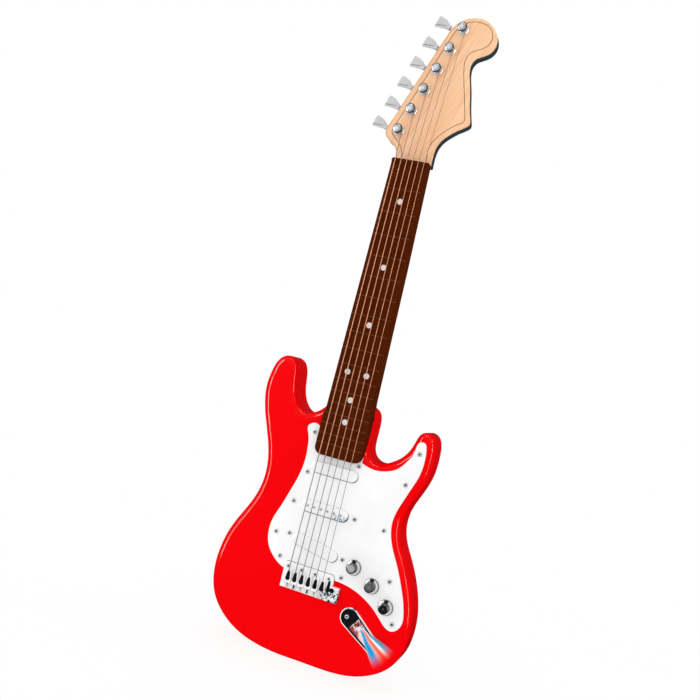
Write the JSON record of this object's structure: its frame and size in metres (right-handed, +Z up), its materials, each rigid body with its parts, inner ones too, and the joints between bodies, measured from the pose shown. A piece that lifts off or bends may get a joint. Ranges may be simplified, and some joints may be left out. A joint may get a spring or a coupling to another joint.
{
  "type": "toy electric guitar",
  "caption": "Toy electric guitar with a double-cutaway body, white scratch plate, dummy pickups, turning knobs and tuning keys, sound and light inside.",
  "frame": {"origin": "mouth of the strap socket at the tail, half way through the depth of the body", "axes": "+Z up the neck, -Y the playing side with the strings, +Y the flat back, +X to the right of somebody who looks at the playing side"},
  "size_m": [0.2128, 0.0502, 0.6646],
  "materials": {
    "body_red": "high gloss",
    "guard_white": "gloss",
    "cover_white": "gloss",
    "neck_brown": "satin",
    "head_wood": "satin",
    "head_slate": "satin",
    "chrome": "polished",
    "knob_metal": "polished",
    "steel": "satin",
    "fret_bronze": "satin",
    "string_steel": "satin",
    "post_metal": "polished",
    "key_grey": "satin",
    "dot_pearl": "pearl",
    "lamp_black": "gloss",
    "lamp_lens": "clear",
    "led_epoxy": "clear",
    "board_green": "satin",
    "speaker_black": "matte",
    "box_black": "matte",
    "cell_foil": "gloss",
    "contact_metal": "bright",
    "switch_black": "matte",
    "wire_pvc": "satin",
    "pot_metal": "satin"
  },
  "bodies": {
    "guitar": {"body_front_shell": "body_red", "body_back_shell": "body_red", "pickguard": "guard_white", "face_screws": "steel", "body_screws": "steel", "neck_screws": "steel", "bridge_plate": "chrome", "bridge_saddles": "chrome", "bridge_screws": "steel", "fretboard": "neck_brown", "frets": "fret_bronze", "fret_dots": "dot_pearl", "nut": "neck_brown", "neck_back": "neck_brown", "headstock_front": "head_wood", "headstock_back": "head_slate", "headstock_screws": "steel", "tuner_bushings": "post_metal", "potentiometers": "pot_metal", "light_rim": "chrome", "light_cap": "lamp_black", "light_lens": "lamp_lens", "led_unit": "led_epoxy", "circuit_board": "board_green", "speaker": "speaker_black", "battery_box": "box_black", "batteries": "cell_foil", "battery_contacts": "contact_metal", "switch_body": "switch_black", "wiring": "wire_pvc", "pickup_cover_neck": "cover_white", "pickup_cover_middle": "cover_white", "pickup_cover_bridge": "cover_white", "string_1": "string_steel", "string_2": "string_steel", "string_3": "string_steel", "string_4": "string_steel", "string_5": "string_steel", "string_6": "string_steel"},
    "knob_volume": {"knob_volume": "knob_metal", "pot_shaft_volume": "pot_metal"},
    "knob_tone_1": {"knob_tone_1": "knob_metal", "pot_shaft_tone_1": "pot_metal"},
    "knob_tone_2": {"knob_tone_2": "knob_metal", "pot_shaft_tone_2": "pot_metal"},
    "power_switch": {"switch_slider": "switch_black"},
    "battery_cover": {"battery_door": "body_red", "battery_door_screw": "steel"},
    "key_1": {"tuner_key_1": "key_grey"},
    "post_1": {"tuner_post_1": "post_metal"},
    "key_2": {"tuner_key_2": "key_grey"},
    "post_2": {"tuner_post_2": "post_metal"},
    "key_3": {"tuner_key_3": "key_grey"},
    "post_3": {"tuner_post_3": "post_metal"},
    "key_4": {"tuner_key_4": "key_grey"},
    "post_4": {"tuner_post_4": "post_metal"},
    "key_5": {"tuner_key_5": "key_grey"},
    "post_5": {"tuner_post_5": "post_metal"},
    "key_6": {"tuner_key_6": "key_grey"},
    "post_6": {"tuner_post_6": "post_metal"}
  },
  "joints": [
    {"name": "knob_volume_turn", "type": "hinge", "parent": "guitar", "child": "knob_volume", "pos_m": [0.042, -0.0206, 0.1068], "axis": [0, -1, 0], "range_deg": [-135, 135]},
    {"name": "knob_tone_1_turn", "type": "hinge", "parent": "guitar", "child": "knob_tone_1", "pos_m": [0.0637, -0.0206, 0.095], "axis": [0, -1, 0], "range_deg": [-135, 135]},
    {"name": "knob_tone_2_turn", "type": "hinge", "parent": "guitar", "child": "knob_tone_2", "pos_m": [0.082, -0.0206, 0.0799], "axis": [0, -1, 0], "range_deg": [-135, 135]},
    {"name": "power_switch_slide", "type": "slide", "parent": "guitar", "child": "power_switch", "axis": [1, 0, 0], "range_m": [0, 0.004]},
    {"name": "battery_cover_lift", "type": "slide", "parent": "guitar", "child": "battery_cover", "axis": [0, 1, 0], "range_m": [0, 0.03]},
    {"name": "key_1_turn", "type": "hinge", "parent": "guitar", "child": "key_1", "pos_m": [-0.02345, -0.009, 0.53693], "axis": [-0.9397, 0, 0.342], "continuous": true},
    {"name": "key_2_turn", "type": "hinge", "parent": "guitar", "child": "key_2", "pos_m": [-0.01549, -0.009, 0.55903], "axis": [-0.9397, 0, 0.342], "continuous": true},
    {"name": "key_3_turn", "type": "hinge", "parent": "guitar", "child": "key_3", "pos_m": [-0.00753, -0.009, 0.58113], "axis": [-0.9397, 0, 0.342], "continuous": true},
    {"name": "key_4_turn", "type": "hinge", "parent": "guitar", "child": "key_4", "pos_m": [0.00043, -0.009, 0.60323], "axis": [-0.9397, 0, 0.342], "continuous": true},
    {"name": "key_5_turn", "type": "hinge", "parent": "guitar", "child": "key_5", "pos_m": [0.00839, -0.009, 0.62533], "axis": [-0.9397, 0, 0.342], "continuous": true},
    {"name": "key_6_turn", "type": "hinge", "parent": "guitar", "child": "key_6", "pos_m": [0.01635, -0.009, 0.64743], "axis": [-0.9397, 0, 0.342], "continuous": true},
    {"name": "post_1_turn", "type": "hinge", "parent": "guitar", "child": "post_1", "pos_m": [-0.0227, -0.0206, 0.539], "axis": [0, -1, 0], "continuous": true},
    {"name": "post_2_turn", "type": "hinge", "parent": "guitar", "child": "post_2", "pos_m": [-0.01474, -0.0206, 0.5611], "axis": [0, -1, 0], "continuous": true},
    {"name": "post_3_turn", "type": "hinge", "parent": "guitar", "child": "post_3", "pos_m": [-0.00678, -0.0206, 0.5832], "axis": [0, -1, 0], "continuous": true},
    {"name": "post_4_turn", "type": "hinge", "parent": "guitar", "child": "post_4", "pos_m": [0.00118, -0.0206, 0.6053], "axis": [0, -1, 0], "continuous": true},
    {"name": "post_5_turn", "type": "hinge", "parent": "guitar", "child": "post_5", "pos_m": [0.00914, -0.0206, 0.6274], "axis": [0, -1, 0], "continuous": true},
    {"name": "post_6_turn", "type": "hinge", "parent": "guitar", "child": "post_6", "pos_m": [0.0171, -0.0206, 0.6495], "axis": [0, -1, 0], "continuous": true}
  ],
  "couplings": [
    {"joint": "post_1_turn", "follows": "key_1_turn", "ratio": -0.5},
    {"joint": "post_2_turn", "follows": "key_2_turn", "ratio": -0.5},
    {"joint": "post_3_turn", "follows": "key_3_turn", "ratio": -0.5},
    {"joint": "post_4_turn", "follows": "key_4_turn", "ratio": -0.5},
    {"joint": "post_5_turn", "follows": "key_5_turn", "ratio": -0.5},
    {"joint": "post_6_turn", "follows": "key_6_turn", "ratio": -0.5}
  ]
}
